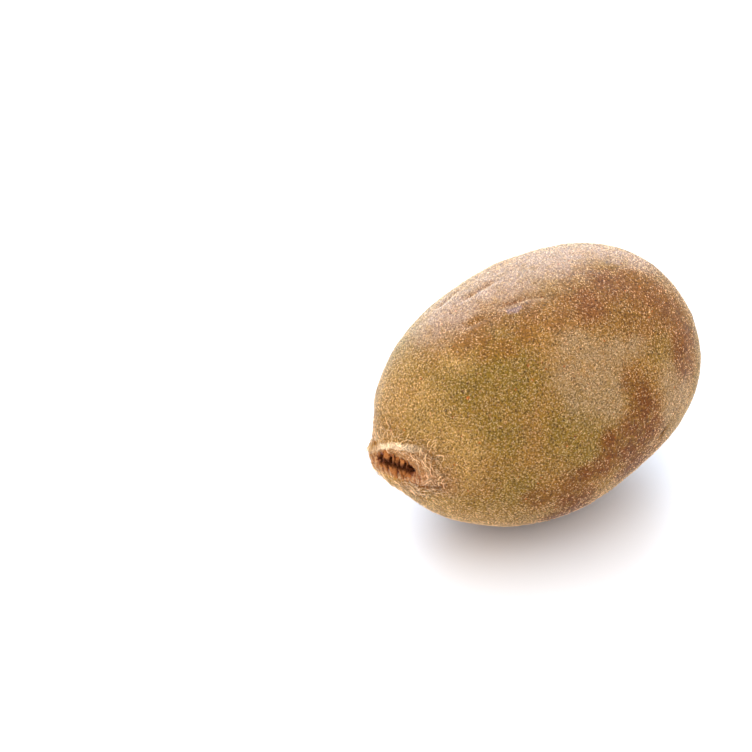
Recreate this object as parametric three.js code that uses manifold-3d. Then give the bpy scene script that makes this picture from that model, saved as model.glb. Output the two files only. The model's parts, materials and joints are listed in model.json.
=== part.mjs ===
// A whole golden kiwifruit lying on its side, in millimetres, +Z up: the fruit with its beak, the
// withered styles in the slit of the beak, and the woody button where it hung from the vine. The
// beak points to -X and dips a little, and the origin is the middle of the underside of its box.

import * as THREE from 'three';
import { mergeVertices } from 'three/addons/utils/BufferGeometryUtils.js';
import Module from 'manifold-3d';

const wasm = await Module();
wasm.setup();

// The egg that the whole fruit follows, drawn with its long axis level along X.
const EGG_LENGTH = 72.7;
const WIDTH = 51;
const HEIGHT = 48.5;
const GIRTH_BY_POWER = [ 1, -0.01, 0.018, -0.243 ]; // of the cosine from the blossom pole
const BEAK_DIP = 3.5; // degrees that the long axis falls towards the beak as it lies
const REST_SPOT_CUT = 0.4; // height shaved off the belly, which gives the flat spot it lies on

// The grid of the skin.
const MERIDIANS = 84;
const RINGS = 66;

// The beak: a flat-topped oval of two lips round a slit that lies across the fruit.
const BEAK_INSET = 2.5; // of the lips' crest from the egg's blossom pole
const BEAK_LIFT = 0.2; // of the slit's middle above the long axis
const BEAK_ROLL = 15; // degrees that the slit's -Y end stands higher
const BEAK_YAW = 4; // degrees that the slit's -Y end stands further back
const BEAK_FADE = 5; // length over which the lift, the roll and the yaw die away
const SLIT_EVENNESS = 0.7; // how far the grid's points are spread evenly along the slit
// Rings from the slit's floor to the cheeks: depth below the crest, half length, half height.
const BEAK_RINGS = [
	[ 2.4, 0, 0 ],
	[ 2.4, 4.9, 0.7 ],
	[ 1.4, 5.4, 0.95 ],
	[ 0.5, 5.7, 1.05 ],
	[ 0.15, 6.3, 1.8 ],
	[ 0, 7.1, 2.9 ],
	[ 0.1, 8, 4.4 ],
	[ 0.7, 8.7, 6.2 ],
	[ 2.1, 10.1, 8.8 ],
	[ 4.1, 12.4, 11.5 ],
];

// The flank, by degrees from the blossom pole.
const FLANK_FROM = 43;
const FLANK_TO = 172;
const FLANK_STEPS = 16;

// The dimple round the button, from the flank's end inwards: depth below that end, radius.
const DIMPLE_DEPTH = 1.3;
const DIMPLE_RINGS = [
	[ 0.4, 4.1 ],
	[ 1.1, 3.6 ],
	[ DIMPLE_DEPTH, 2.4 ],
	[ DIMPLE_DEPTH, 0 ],
];

// Broad swellings and flats: where, by degrees from the blossom pole and round the axis from +Y
// over the top, then how wide, in degrees, and how high where the fruit is at its full height.
const SWELLINGS = [
	{ along: 142, round: 95, spread: 18, height: 0.7 },
	{ along: 148, round: 190, spread: 18, height: -0.6 },
	{ along: 82, round: 234, spread: 17, height: 0.5 },
	{ along: 104, round: 220, spread: 10, height: -0.3 },
	{ along: 70, round: 36, spread: 20, height: -0.4 },
	{ along: 118, round: 58, spread: 22, height: 0.5 },
	{ along: 22, round: 322, spread: 9, height: 2.8 },
];

// The withered styles: hooked stubs that rise from a common base in the slit and bend out over both
// lips, like two combs. The base lies between two depths below the lips' crest.
const STYLES_A_SIDE = 7;
const STYLE_PITCH = 1.4;
const STYLE_THICKNESS = 0.75;
const STYLE_UNEVENNESS = 0.15; // share by which their reach varies
const STYLE_BASE = { top: 1.2, underside: 2.05, halfLength: 4.6, halfHeight: 0.6 };
// A stub's outline at the slit's middle: depth below the crest, distance out from the slit.
const STUB_OUTLINE = [
	[ 1.5, 0 ],
	[ 1.5, 0.6 ],
	[ 0.2, 0.65 ],
	[ -0.1, 1.05 ],
	[ -0.3, 2.5 ],
	[ -0.6, 2.4 ],
	[ -0.8, 1.2 ],
	[ -0.5, 0.2 ],
];
const STUB_BEND = 1; // distance out from the slit past which the stubs are uneven

// The woody button: a low disc with a pit in the middle, where the stalk broke off, and a rim that
// the five dry sepals widen. Its outline is a radius and a height above its underside.
const BUTTON_CLEARANCE = 0.35; // between its underside and the dimple's floor
const BUTTON_OUTLINE = [
	[ 0, 0 ],
	[ 2.3, 0 ],
	[ 2.9, 0.5 ],
	[ 3, 1.2 ],
	[ 2.6, 1.7 ],
	[ 1.7, 1.75 ],
	[ 1.2, 1.2 ],
	[ 0, 1.1 ],
];
const SEPALS = 5;
const SEPAL_REACH = 0.12; // share by which a sepal widens the rim
const SEPALS_ABOVE = 1; // height over which the sepals show
const ROUND_SEGMENTS = 40;

const SKIN = { color: 0xa88a58, roughness: 0.75, metalness: 0 };
const DRIED_STYLE = { color: 0x5a3018, roughness: 0.9, metalness: 0 };
const STEM_WOOD = { color: 0x6b4a2e, roughness: 0.9, metalness: 0 };

const { degToRad, lerp, clamp, smoothstep } = THREE.MathUtils;

// ---- solids and joins ----

function toSolid( geometry ) {

	// Without normals and uvs the grid's seam and poles close.
	geometry.deleteAttribute( 'normal' );
	geometry.deleteAttribute( 'uv' );
	const closed = mergeVertices( geometry );
	return new wasm.Manifold( new wasm.Mesh( {
		numProp: 3,
		vertProperties: closed.attributes.position.array,
		triVerts: new Uint32Array( closed.index.array ),
	} ) );

}

function toGeometry( solid ) {

	const { vertProperties, triVerts } = solid.getMesh();
	const geometry = new THREE.BufferGeometry();
	geometry.setAttribute( 'position', new THREE.BufferAttribute( vertProperties, 3 ) );
	geometry.setIndex( new THREE.BufferAttribute( triVerts, 1 ) );
	geometry.computeVertexNormals();
	return geometry;

}

function movePoints( geometry, move ) {

	const position = geometry.attributes.position;
	const point = new THREE.Vector3();
	for ( let i = 0; i < position.count; i ++ ) {

		move( point.fromBufferAttribute( position, i ) );
		position.setXYZ( i, point.x, point.y, point.z );

	}

	return geometry;

}

// ---- the skin ----

const CREST = BEAK_INSET - EGG_LENGTH / 2; // station of the lips' crest on the long axis

// A ring of the egg: its station on the long axis, half its width and half its height.
function eggRing( degrees ) {

	const angle = degToRad( degrees );
	const cosine = Math.cos( angle );
	const girth = GIRTH_BY_POWER.reduce( ( sum, share, power ) => sum + share * cosine ** power, 0 );
	const radius = Math.sin( angle ) * girth;
	return [ - cosine * EGG_LENGTH / 2, radius * WIDTH / 2, radius * HEIGHT / 2 ];

}

// A smooth run through the skin's rings, from the slit's floor to the middle of the dimple.
function skinProfile() {

	const rings = BEAK_RINGS.map( ( [ depth, across, up ] ) => [ CREST + depth, across, up ] );
	for ( let step = 0; step <= FLANK_STEPS; step ++ ) {

		rings.push( eggRing( lerp( FLANK_FROM, FLANK_TO, step / FLANK_STEPS ) ) );

	}

	const [ flankEnd ] = eggRing( FLANK_TO );
	rings.push( ...DIMPLE_RINGS.map( ( [ depth, radius ] ) => [ flankEnd - depth, radius, radius ] ) );
	return new THREE.CatmullRomCurve3( rings.map( ( ring ) => new THREE.Vector3( ...ring ) ) );

}

// Takes a point from the beak's own frame, with the slit level along Y, to the fruit's.
function placeOnBeak( point ) {

	const share = 1 - smoothstep( point.x - CREST, 0, BEAK_FADE );
	point.x -= CREST;
	point.applyAxisAngle( new THREE.Vector3( 0, 0, 1 ), degToRad( BEAK_YAW ) * share );
	point.applyAxisAngle( new THREE.Vector3( 1, 0, 0 ), - degToRad( BEAK_ROLL ) * share );
	point.x += CREST;
	point.z += BEAK_LIFT * share;
	return point;

}

function towards( along, round ) {

	return new THREE.Vector3().setFromSphericalCoords( 1, along, round );

}

function swellingAt( along, round ) {

	const here = towards( along, round );
	return SWELLINGS.reduce( ( sum, swelling ) => {

		const closeness = here.dot( towards( degToRad( swelling.along ), degToRad( swelling.round ) ) );
		const spread = degToRad( swelling.spread );
		return sum + swelling.height * Math.exp( ( closeness - 1 ) / spread ** 2 );

	}, 0 );

}

// Moves a point of the unit sphere, whose pole is at -X, to its place on the skin.
function skinPoint( profile, point ) {

	const ring = profile.getPoint( Math.acos( clamp( - point.x, -1, 1 ) ) / Math.PI );
	const round = Math.atan2( point.z, point.y );
	const flatness = ring.y > 0 ? 1 - ring.z / ring.y : 0;
	const turn = round + SLIT_EVENNESS * flatness * Math.sin( 2 * round ) / 2;
	const along = Math.acos( clamp( - ring.x / ( EGG_LENGTH / 2 ), -1, 1 ) );
	const swell = 1 + swellingAt( along, round ) / ( HEIGHT / 2 );
	point.set( ring.x, ring.y * Math.cos( turn ) * swell, ring.z * Math.sin( turn ) * swell );
	return placeOnBeak( point );

}

function makeSkin() {

	const profile = skinProfile();
	const sphere = new THREE.SphereGeometry( 1, MERIDIANS, RINGS ).rotateZ( Math.PI / 2 );
	return movePoints( sphere, ( point ) => skinPoint( profile, point ) );

}

// ---- the withered styles ----

// A stub reaches out less towards the slit's ends, where the slit narrows.
function makeStub( number, along, side ) {

	const slitEnd = STYLE_BASE.halfLength + STYLE_THICKNESS;
	const narrowing = side * Math.sqrt( 1 - ( along / slitEnd ) ** 2 );
	const unevenness = 1 + STYLE_UNEVENNESS * Math.sin( 5 * number + side );
	const outline = STUB_OUTLINE.map( ( [ depth, out ] ) => {

		const reach = out > STUB_BEND ? out * unevenness : out;
		return new THREE.Vector2( CREST + depth, narrowing * reach );

	} );
	const thickness = { depth: STYLE_THICKNESS, bevelEnabled: false };
	const stub = new THREE.ExtrudeGeometry( new THREE.Shape( outline ), thickness );
	// Turned so that the outline stands in X and Z and its thickness runs along Y.
	return stub.rotateX( Math.PI / 2 ).translate( 0, along + STYLE_THICKNESS / 2, 0 );

}

function makeStyles() {

	const { top, underside, halfLength, halfHeight } = STYLE_BASE;
	const base = new THREE.CylinderGeometry( 1, 1, underside - top, ROUND_SEGMENTS );
	base.rotateZ( Math.PI / 2 ).scale( 1, halfLength, halfHeight );
	let solid = toSolid( base.translate( CREST + ( top + underside ) / 2, 0, 0 ) );
	for ( let i = 0; i < STYLES_A_SIDE; i ++ ) {

		const along = ( i - ( STYLES_A_SIDE - 1 ) / 2 ) * STYLE_PITCH;
		for ( const side of [ -1, 1 ] ) solid = solid.add( toSolid( makeStub( i, along, side ) ) );

	}

	return movePoints( toGeometry( solid ), placeOnBeak );

}

// ---- the woody button ----

function makeButton() {

	const outline = BUTTON_OUTLINE.map( ( [ radius, height ] ) => new THREE.Vector2( radius, height ) );
	const button = movePoints( new THREE.LatheGeometry( outline, ROUND_SEGMENTS ), ( point ) => {

		const round = Math.atan2( point.z, point.x );
		const widening = point.y > SEPALS_ABOVE ? SEPAL_REACH * Math.cos( SEPALS * round ) : 0;
		point.x *= 1 + widening;
		point.z *= 1 + widening;

	} );
	const floor = eggRing( FLANK_TO )[ 0 ] - DIMPLE_DEPTH;
	return button.rotateZ( - Math.PI / 2 ).translate( floor + BUTTON_CLEARANCE, 0, 0 );

}

// ---- the fruit as it lies ----

function shaveBelly( geometry ) {

	geometry.computeBoundingBox();
	const lowest = geometry.boundingBox.min.z;
	const block = new THREE.BoxGeometry( EGG_LENGTH, WIDTH, HEIGHT );
	block.translate( 0, 0, lowest + REST_SPOT_CUT - HEIGHT / 2 );
	return toGeometry( toSolid( geometry ).subtract( toSolid( block ) ) );

}

function addPiece( group, name, geometry, finish ) {

	const mesh = new THREE.Mesh( geometry, new THREE.MeshStandardMaterial( finish ) );
	mesh.name = name;
	group.add( mesh );

}

const dip = - degToRad( BEAK_DIP );
const kiwifruit = new THREE.Group();
addPiece( kiwifruit, 'fruit', shaveBelly( makeSkin().rotateY( dip ) ), SKIN );
addPiece( kiwifruit, 'dried_styles', makeStyles().rotateY( dip ), DRIED_STYLE );
addPiece( kiwifruit, 'stem_button', makeButton().rotateY( dip ), STEM_WOOD );

const box = new THREE.Box3().setFromObject( kiwifruit, true );
const middle = box.getCenter( new THREE.Vector3() );
kiwifruit.position.set( - middle.x, - middle.y, - box.min.z );

export default kiwifruit;
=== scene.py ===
"""A golden kiwi fruit: the skin with its fuzz, the dried styles in the beak and the stem button."""

import json
import math

import bpy
import numpy as np
from bpy.props import FloatProperty, FloatVectorProperty, PointerProperty
from bpy.types import NodeSocket, Operator, Panel, PropertyGroup
from mathutils import Matrix, Vector

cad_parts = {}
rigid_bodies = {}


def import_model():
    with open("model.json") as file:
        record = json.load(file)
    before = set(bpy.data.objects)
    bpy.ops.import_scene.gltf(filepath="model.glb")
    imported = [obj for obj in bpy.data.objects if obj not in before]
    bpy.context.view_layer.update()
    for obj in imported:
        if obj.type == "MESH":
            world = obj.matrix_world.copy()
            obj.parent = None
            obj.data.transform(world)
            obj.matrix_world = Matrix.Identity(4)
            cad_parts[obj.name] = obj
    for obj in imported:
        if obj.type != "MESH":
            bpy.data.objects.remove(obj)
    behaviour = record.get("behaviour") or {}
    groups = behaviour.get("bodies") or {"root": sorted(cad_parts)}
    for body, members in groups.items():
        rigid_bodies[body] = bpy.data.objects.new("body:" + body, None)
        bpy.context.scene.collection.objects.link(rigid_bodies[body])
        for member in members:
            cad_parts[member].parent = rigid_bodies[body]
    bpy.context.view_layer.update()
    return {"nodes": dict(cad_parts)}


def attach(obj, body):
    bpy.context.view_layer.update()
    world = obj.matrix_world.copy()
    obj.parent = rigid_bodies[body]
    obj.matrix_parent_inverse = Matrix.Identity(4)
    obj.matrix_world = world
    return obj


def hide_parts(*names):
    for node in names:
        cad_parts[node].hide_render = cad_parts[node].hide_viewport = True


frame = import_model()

bl_info = {
    "name": "Golden kiwi fruit",
    "version": (1, 0, 0),
    "blender": (4, 5, 0),
    "location": "3D View > Sidebar > Kiwi",
    "description": "Dresses the solid golden kiwi fruit in skin, fuzz, dried styles and stem scar",
    "category": "Object",
}

MM = 0.001

# The long axis of the egg, from the beak towards the stem, and the egg's centre, in mm.
DIP = math.radians(3.5)
LONG_AXIS = np.array([math.cos(DIP), 0.0, math.sin(DIP)])
EGG_CENTRE = np.array([-0.982, 0.012, 23.931])

# The slit in the beak: its middle, the directions along and across it, and half its length, in mm.
SLIT_MIDDLE = np.array([-34.8, 0.05, 22.06])
SLIT_TILT = math.radians(15)
SLIT_ALONG = np.array([0.0, -math.cos(SLIT_TILT), math.sin(SLIT_TILT)])
SLIT_ACROSS = np.array([0.0, math.sin(SLIT_TILT), math.cos(SLIT_TILT)])
SLIT_HALF_LENGTH = 5.2
SLIT_END = SLIT_MIDDLE + SLIT_ALONG * SLIT_HALF_LENGTH

# The beak begins between these two places on the X axis, in mm. What lies behind it counts as
# this much further from the slit, so that nothing of the beak reaches it.
BEAK_BEHIND, BEAK_FRONT = -24, -28
FAR_AWAY = 40

# The pale ridge over the slit and the crease under it: how far above its middle line they lie and
# how wide they are, in mm, and how the ridge climbs along the slit and arches.
RIDGE_ABOVE, RIDGE_CLIMB, RIDGE_ARCH, RIDGE_WIDTH = 4.15, 0.27, 0.022, 0.9
CREASE_ABOVE, CREASE_WIDTH = -3.25, 0.4

# The furrows that the styles press into the lips: how far apart they are, in mm, and how they
# wind.
FURROW_PITCH = 1.4
FURROW_BEND, FURROW_WINDING = 0.25, 2.1

# The button's middle, in mm.
STEM_MIDDLE = np.array([34.8, 0.0, 26.1])

# Patches of colour, each over those before it: the colour, its strength, and every centre and
# radius in mm.
PATCHES = (
    ("olive", 0.8, (
        (-16.8, -14.3, 39.9, 7), (-17, -10.5, 42.1, 6), (-14.3, -12.9, 42.1, 5),
        (-10, -22, 31, 8), (-7, -24.9, 24, 5), (-24, -7, 40, 7), (-22, -17, 33, 7),
        (-20, -18, 22, 6), (-20, 14, 34, 12), (4, 24, 30, 11),
    )),
    # Straw: the paler golden fuzz of the beak, lightened further as painted light on the lit left
    # side.
    ("straw", 0.55, (
        (-30, -2, 35, 8), (-29, 6, 33, 9), (-30, -10, 29, 6), (-28, -13, 25, 5), (-30, -8, 15, 8),
        (-24, -10, 10, 9), (-22, -3, 43, 5), (-30, 8, 14, 10), (-30, -9, 31, 7),
        (-27, -12, 29, 6),
    )),
    # Frost: paler fuzz on top, made paler and cooler still as a painted sheen.
    ("frost_and_sheen", 0.6, (
        (-14, 8, 44, 11), (-4, 6, 48, 11), (7, 5, 48.5, 10), (14, 5, 47, 7), (18, 3.5, 46, 6),
        (21, 0, 45, 5.5), (23, -3, 44, 5),
    )),
    ("russet", 0.5, (
        (9, -8, 47, 9), (3.8, -8.6, 47, 7), (-1, -10.3, 46.2, 5.5), (-5.5, -5.3, 47.3, 4.5),
        (-10, -3.2, 46.9, 4), (13.8, -15, 42, 8), (26, 4, 34, 17), (14, 16, 38, 14),
        (24, 8, 16, 16), (8, -12, 5, 12), (11, -22.5, 16, 6.5),
    )),
    ("russet", 0.8, (
        (14, -7, 46.2, 6), (18, -8.4, 45, 6), (20.5, -11, 42.6, 6), (22.6, -14.4, 39, 6),
        (23.5, -17, 35, 6), (6, -9.8, 46.4, 5), (21, -19.5, 31.5, 6),
    )),
    ("ash", 0.8, (
        (-2.5, -15.4, 43.2, 5), (-1.3, -18.4, 40.6, 7), (-0.6, -21, 37.4, 6.5),
        (-1, -23, 33.6, 5), (-6, -18.4, 40.2, 6), (-5.6, -21.4, 36.2, 6), (4.8, -18.4, 40.4, 4.5),
        (10, -18.5, 39.4, 3), (14.8, -23.3, 27.4, 4), (13.5, -23.9, 24, 4),
        (18.5, -22.1, 25.5, 5), (15.5, -22, 31, 4), (0.5, 20.5, 39.5, 4.5), (4.5, 22, 36.5, 4),
        (7.5, 23, 33, 3.5), (-3.5, 19, 41.5, 3.5), (6, 23, 29.5, 2.5),
    )),
    # Dark bark bands, which on the lower side also stand as painted shade.
    ("bark", 0.65, (
        (5.4, -22.3, 35.4, 4), (7, -23.4, 32.4, 4), (20.5, -18.9, 35.1, 3),
        (-17, -21.6, 17.6, 4.5), (-11.8, -23.6, 19, 4.5),
    )),
    ("bark", 0.95, (
        (7.2, -24.4, 28.9, 4.6), (2.9, -25.1, 27.2, 4.4), (-1.8, -25.2, 26, 4),
        (8, -24.7, 23.1, 5), (3, -25.1, 22.4, 5.5), (-3, -25.3, 21.5, 5), (-7.6, -25, 20.8, 3.6),
        (5, -24, 16, 6), (-9, -23, 14, 5.5), (-8, -20, 8, 8), (11, 22, 15, 7), (5, 21, 10, 6),
        (16, 20, 20, 5),
    )),
    ("amber", 0.85, (
        (-16.2, -1.8, 45, 3.6), (-13.5, -0.1, 46.1, 2.4), (-15.8, -4, 44.9, 2.6),
        (-19.1, -1.4, 43.8, 3), (-16.6, -6.2, 44.1, 3), (-14.3, -8.4, 44.3, 3), (-9, -8, 46, 3.4),
        (20, -8, 44.5, 4),
    )),
    ("blush", 0.8, (
        (-33, -7.5, 26.5, 5), (-32, -10.5, 23, 5), (-33.5, -4, 18, 4), (-32, 9, 24, 5),
    )),
)

# Where a patch ends and where it is full, as shares of its radius.
PATCH_EDGE = (1.2, 0.3)

# How far hairs and gaps fade into each other in some patches.
CALM = {"frost_and_sheen": 0.2, "ash": 0.1}

# Spots and scars: the colour, and every centre and radius in mm.
SPOTS = (
    ("slit", (
        (-33.4, -3.6, 16.3, 0.32), (-24.2, -7.9, 39, 0.34), (-27.9, -7.3, 36, 0.3),
        (-33.3, 7.8, 27.3, 0.32), (13.6, -23.4, 20.8, 0.6), (13, -23.5, 20.3, 0.65),
        (12.4, -23.5, 19.8, 0.5),
    )),
    ("ember", ((-24.2, -9.4, 38.3, 0.4), (-12.6, -13.2, 42.4, 0.35))),
    # Painted shade along the dent in the top.
    ("bark", (
        (-8, -0.5, 47.5, 0.5), (-7.2, -0.7, 47.6, 0.6), (-6.5, -1.1, 47.7, 0.65),
        (-5.7, -1.3, 47.8, 0.7), (-4.9, -1.6, 47.9, 0.6), (-4.1, -1.8, 48, 0.5),
    )),
    ("scar", (
        (-7.3, -3.1, 47.4, 0.9), (-8.3, -2.6, 47.3, 0.8), (-6.3, -3.1, 47.5, 0.6),
        (-7.6, 7.5, 46.4, 0.7),
    )),
    ("lip", ((-9.2, 7.7, 46, 0.9), (-6, 7.4, 46.9, 0.8))),
)

# Creases beside the slit, dents in the top and a nick in the flank, as lines of points in mm.
CREASES = (
    ((-33.6, -3.6, 16.2), (-32.6, -8, 16.6)),
    ((-33.6, -5.2, 28.2), (-31.9, -9.5, 27.4)),
)
DENTS = (
    ((-8.8, -0.4, 47.3), (-6.5, -1.1, 47.7), (-4.1, -1.8, 48), (-1, -3.4, 48)),
    ((-10.5, 8, 45.6), (-7.6, 7.6, 46.4), (-4.6, 7.3, 47.1)),
    ((-15.5, 1.2, 45.4), (-13, 0.2, 46.3)),
    ((-13, 13, 42.5), (-9, 13.4, 43.6)),
)
NICK = ((13.9, -23.4, 20.9), (13, -23.5, 20.3), (12.2, -23.5, 19.6))


def colour(name, chart, text):
    """A colour property, from the hex code that a paint chart shows."""
    parts = [int(chart[i : i + 2], 16) / 255 for i in (0, 2, 4)]
    linear = [((c + 0.055) / 1.055) ** 2.4 if c > 0.04 else c / 12.92 for c in parts]
    return FloatVectorProperty(
        name=name, description=text, subtype="COLOR", size=3, min=0, max=1, default=linear
    )


def length(name, default, text):
    """A length property, from a default in mm."""
    return FloatProperty(
        name=name, description=text, subtype="DISTANCE", unit="LENGTH",
        default=default * MM, min=0, precision=5,
    )


def power(name, default, text):
    """A light's strength in watts."""
    return FloatProperty(
        name=name, description=text, subtype="POWER", unit="POWER", default=default, min=0
    )


class SkinSettings(PropertyGroup):
    lump_height: length("Lump height", 0.24, "Height of the broad low lumps")
    fold_height: length("Fold height", 0.36, "Height of the folds beside the slit")
    ridge_height: length("Ridge height", 0.3, "Height of the pale ridge over the slit")
    furrow_depth: length("Furrow depth", 0.2, "Depth of the furrows that run into the slit")
    crease_depth: length("Crease depth", 0.32, "Depth of the creases round the beak")
    grain_height: length("Grain height", 0.05, "Height of the leathery grain")
    gold: colour("Gold", "a87632", "The main gold brown")
    # Straw: the beak's paler skin, partly painted light on the lit left side.
    straw: colour("Straw", "d3a35a", "The lighter skin of the beak")
    # Frost: the paler fuzz on top, partly a painted sheen.
    frost_and_sheen: colour("Frost", "c3a190", "The paler, greyer fuzz on top")
    olive: colour("Olive", "8f6f20", "The greener skin of the blossom half")
    russet: colour("Russet", "8e5428", "The copper brown of the stem half")
    ash: colour("Ash", "b28e62", "The greyed shoulder")
    # Bark: dark bands on the flank, also used as painted shade on the lower side, in the crease,
    # the furrows and the dent.
    bark: colour("Bark", "824608", "The dark bands on the flank")
    amber: colour("Amber", "9a6420", "Small deep yellow patches")
    pit: colour("Pit", "5c3410", "The small dark pits between the hairs")
    ember: colour("Ember", "d06a2a", "Small scattered orange specks")
    scar: colour("Scar", "a2827a", "The bare pink scar on top")
    blush: colour("Blush", "a4703f", "The pinkish skin round the slit")
    lip: colour("Lip", "a87648", "The pale lips of the slit")
    under_lip: colour("Under lip", "c08a5c", "The orange skin below the slit")
    # Cream: the ridge's own pale colour, also standing as a painted highlight along its crest.
    cream: colour("Cream", "e8c49a", "The ridge of the upper lip")
    # Wall and slit: dark browns of the slit's sides and inside, partly painted shade in the recess;
    # the wall colour also paints the styles' shadows on the lower lip.
    wall: colour("Wall", "86431c", "The sides of the slit")
    slit: colour("Slit", "48220a", "The inside of the slit")


class FuzzSettings(PropertyGroup):
    hair_length: length("Hair length", 0.68, "Length of a hair on the blossom half")
    spacing: length("Hair spacing", 0.25, "Least distance between two hairs")
    pale: colour("Pale hair", "ecd2ac", "The hairs' own pale colour")
    reddish: colour("Reddish hair", "b06a3c", "A colour that some of the hairs lean to")
    greenish: colour("Greenish hair", "938442", "A colour that others lean to")


class StyleSettings(PropertyGroup):
    # Root: the styles' dark brown deep in the slit, partly painted shade.
    root: colour("Root", "562a10", "The styles deep in the slit")
    tip: colour("Tip", "ba743c", "The dried tips")
    thinning: length("Thinning", 0.1, "How far each side of a style has shrunk")
    roughening: length("Roughening", 0.12, "How uneven the dried styles are")


class StemSettings(PropertyGroup):
    cork: colour("Cork", "a2744a", "The corky scar")
    dark: colour("Dark", "46290f", "The pit and the cracks")
    crack_depth: length("Crack depth", 0.2, "Depth of the cracks in the scar")


class StageSettings(PropertyGroup):
    floor: colour("Floor", "f4f3f5", "The pale floor")
    top_power: power("Top light", 4.5, "Strength of the big light overhead")
    back_power: power("Back light", 15.0, "Strength of the high light behind the fruit")
    rim_power: power("Rim light", 13.0, "Strength of the low light behind the fruit")
    world_strength: FloatProperty(
        name="Surroundings", description="Strength of the white surroundings",
        default=1.2, min=0,
    )


# Meshes


def alone(obj):
    """Makes obj the only selected object, and the active one."""
    if bpy.context.object and bpy.context.object.mode != "OBJECT":
        done()
    bpy.ops.object.select_all(action="DESELECT")
    obj.select_set(True)
    bpy.context.view_layer.objects.active = obj


def edit(obj):
    """Opens a mesh for editing, with all of it selected."""
    alone(obj)
    bpy.ops.object.mode_set(mode="EDIT")
    bpy.ops.mesh.select_all(action="SELECT")


def done():
    """Leaves the editing of a mesh."""
    bpy.ops.object.mode_set(mode="OBJECT")


def apply(obj, kind, **values):
    """Adds a modifier with these values and applies it."""
    alone(obj)
    modifier = obj.modifiers.new(kind.title(), kind)
    for key, value in values.items():
        setattr(modifier, key, value)
    bpy.ops.object.modifier_apply(modifier=modifier.name)


def named(name):
    """The object just added, given a name."""
    obj = bpy.context.object
    obj.name = obj.data.name = name
    return obj


def new_copy(source, name):
    """A shown copy of an object, with its own mesh."""
    obj = source.copy()
    obj.data = source.data.copy()
    obj.name = obj.data.name = name
    bpy.context.scene.collection.objects.link(obj)
    obj.hide_render = obj.hide_viewport = False
    return obj


SAME_CORNER = 0.002 * MM  # corners closer than this are joined


def merged_copy(node, name):
    """A copy of a CAD node with its doubled corners joined."""
    obj = new_copy(frame["nodes"][node], name)
    obj.data.materials.clear()
    edit(obj)
    bpy.ops.mesh.remove_doubles(threshold=SAME_CORNER)
    done()
    if obj.data.has_custom_normals:
        bpy.ops.mesh.customdata_custom_splitnormals_clear()
    return obj


def vectors_of(mesh, name):
    """One row of three numbers for each corner of a mesh."""
    found = np.empty(len(mesh.vertices) * 3)
    mesh.vertices.foreach_get(name, found)
    return found.reshape(-1, 3)


def points_of(obj):
    return vectors_of(obj.data, "co") / MM


def weigh(obj, name, weights):
    """A vertex group from weights between 0 and 1, in 200 steps."""
    group = obj.vertex_groups.new(name=name)
    steps = np.rint(np.clip(weights, 0, 1) * 200).astype(int)
    for step in np.unique(steps[steps > 0]):
        group.add(np.flatnonzero(steps == step).tolist(), step / 200, "REPLACE")
    return group.name


def raise_by(obj, height, strength):
    """Moves the surface along its normal by strength times a height between 0 and 1."""
    group = weigh(obj, "relief", height)
    apply(obj, "DISPLACE", vertex_group=group, strength=strength, mid_level=0)
    obj.vertex_groups.remove(obj.vertex_groups[group])


def roughen(obj, name, size, strength, share=None):
    """Raises and lowers the surface by cloudy noise with lumps of this size."""
    texture = bpy.data.textures.new(name, "CLOUDS")
    texture.noise_scale = size * MM
    group = "" if share is None else weigh(obj, name, share)
    apply(
        obj, "DISPLACE", texture=texture, texture_coords="LOCAL",
        vertex_group=group, strength=strength, mid_level=0.5,
    )
    if group:
        obj.vertex_groups.remove(obj.vertex_groups[group])


def finish_piece(obj, slot, *nodes):
    """Gives a piece its smooth shading and its place in the frame."""
    alone(obj)
    bpy.ops.object.shade_smooth()
    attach(obj, "root")
    if nodes:
        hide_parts(*nodes)


def ramp(low, high, x):
    t = np.clip((x - low) / (high - low), 0, 1)
    return t * t * (3 - 2 * t)


def beak_share(co):
    """1 on the beak, falling to 0 behind it."""
    return ramp(BEAK_BEHIND, BEAK_FRONT, co[:, 0])


def unit(rows):
    """Rows of vectors, each brought to a length of 1."""
    return rows / np.maximum(np.linalg.norm(rows, axis=1), 1e-9)[:, None]


def ripple(phase):
    """An even wave between 0 and 1."""
    return 0.5 + 0.5 * np.cos(phase)


def slit_places(co):
    """How far points lie along the slit and across it, and their distance from it, in mm."""
    off = co - SLIT_MIDDLE
    along, across = off @ SLIT_ALONG, off @ SLIT_ACROSS
    past = np.maximum(np.abs(along) - SLIT_HALF_LENGTH, 0)
    return along, across, np.hypot(past, across) + FAR_AWAY * (1 - beak_share(co))


def ridge_share(along, across, gap):
    """1 on the middle of the ridge over the slit, falling to 0 beside it."""
    middle = RIDGE_ABOVE + (RIDGE_CLIMB - RIDGE_ARCH * along) * along
    off = (across - middle) / RIDGE_WIDTH
    return np.exp(-off * off) * ramp(7.6, 6.2, gap) * ramp(10, 7, along)


def crease_share(along, across, gap):
    """1 on the middle of the crease under the slit, falling to 0 beside it."""
    off = (across - CREASE_ABOVE) / CREASE_WIDTH
    near = ramp(9, 7, gap) * ramp(0, 2, along) * ramp(12, 8, along)
    return np.exp(-off * off) * near


def line_share(co, line, width):
    """1 on a line of points, falling to 0 at a few widths from it."""
    nearest = np.full(len(co), 1e9)
    for a, b in zip(line, line[1:]):
        a, b = np.array(a, float), np.array(b, float)
        t = np.clip((co - a) @ (b - a) / ((b - a) @ (b - a)), 0, 1)
        nearest = np.minimum(nearest, np.linalg.norm(co - a - t[:, None] * (b - a), axis=1))
    return np.exp(-((nearest / width) ** 2))


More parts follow.
